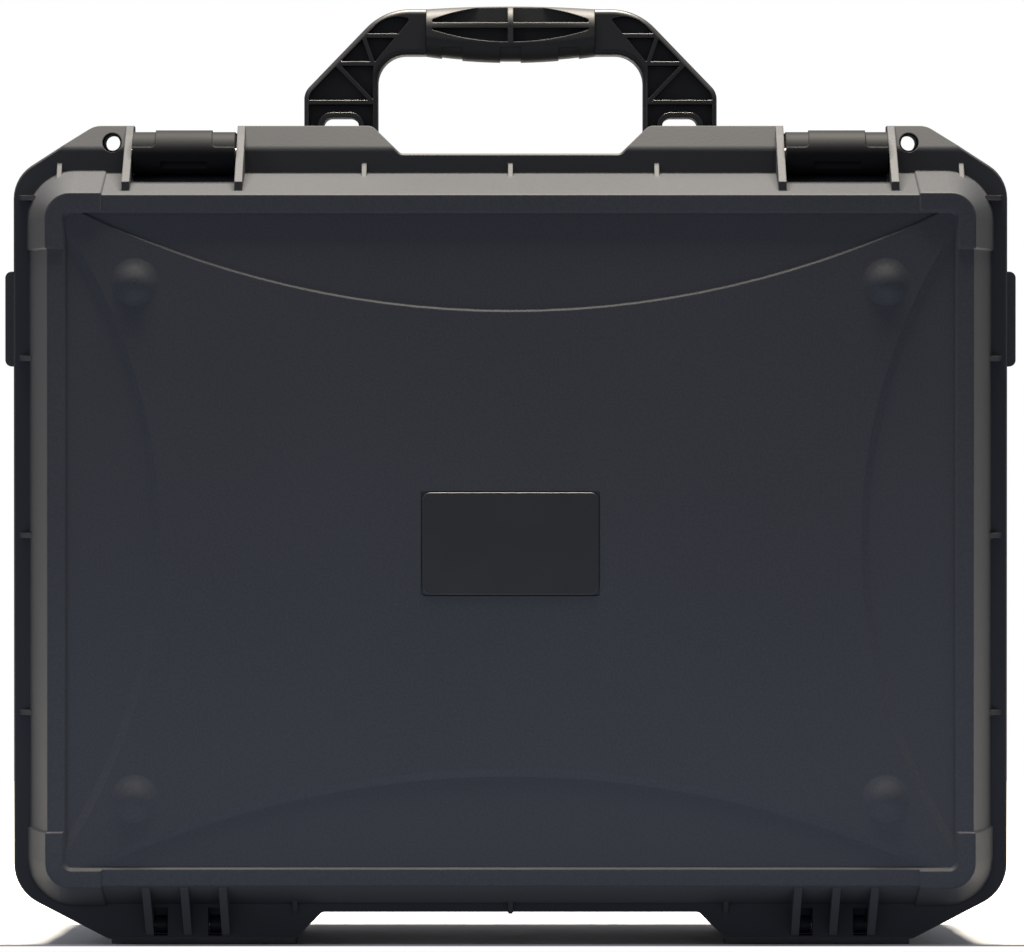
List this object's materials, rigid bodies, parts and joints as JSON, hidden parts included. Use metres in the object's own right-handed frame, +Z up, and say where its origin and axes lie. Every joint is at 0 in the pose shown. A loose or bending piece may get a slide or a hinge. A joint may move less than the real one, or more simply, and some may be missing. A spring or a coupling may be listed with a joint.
{
  "type": "portable game console case",
  "caption": "Hard carrying case for a games console: hinged sloping lid, over-flange latches, swing handle, feet and foam pockets.",
  "frame": {"origin": "on the surface that the case stands on, under the middle of its box", "axes": "+X to the right seen from the lid, +Y from the lid to the base, +Z up towards the handle"},
  "size_m": [0.463, 0.177, 0.4301],
  "materials": {
    "shell": "satin",
    "latch": "satin",
    "handle": "satin",
    "grip": "matte",
    "plate": "satin",
    "steel": "satin",
    "seal": "matte",
    "foot": "matte",
    "vent": "satin",
    "foam": "matte"
  },
  "bodies": {
    "base": {"base_shell": "shell", "hinge_pin_left": "steel", "hinge_pin_right": "steel", "handle_pin_left": "steel", "handle_pin_right": "steel", "vent_body": "vent", "vent_seal": "seal", "vent_nut": "vent", "foot_pad_front_left": "foot", "foot_pad_front_right": "foot", "foot_pad_rear_left": "foot", "foot_pad_rear_right": "foot", "base_foam_insert": "foam", "base_foam_pad": "foam"},
    "lid": {"lid_shell": "shell", "lid_gasket": "seal", "name_plate": "plate", "lid_foam": "foam", "latch_pin_left": "steel", "latch_pin_right": "steel"},
    "left_latch": {"latch_left": "latch"},
    "right_latch": {"latch_right": "latch"},
    "handle": {"handle_frame": "handle", "handle_grip": "grip"}
  },
  "joints": [
    {"name": "lid_hinge", "type": "hinge", "parent": "base", "child": "lid", "pos_m": [0, -0.0395, 0.01], "axis": [1, 0, 0], "range_deg": [0, 105]},
    {"name": "latch_left_swing", "type": "hinge", "parent": "lid", "child": "left_latch", "pos_m": [-0.1479, -0.0555, 0.3617], "axis": [1, 0, 0], "range_deg": [0, 105]},
    {"name": "latch_right_swing", "type": "hinge", "parent": "lid", "child": "right_latch", "pos_m": [0.1479, -0.0555, 0.3617], "axis": [1, 0, 0], "range_deg": [0, 105]},
    {"name": "handle_fold", "type": "hinge", "parent": "base", "child": "handle", "pos_m": [0, -0.0145, 0.3635], "axis": [-1, 0, 0], "range_deg": [0, 90]}
  ]
}
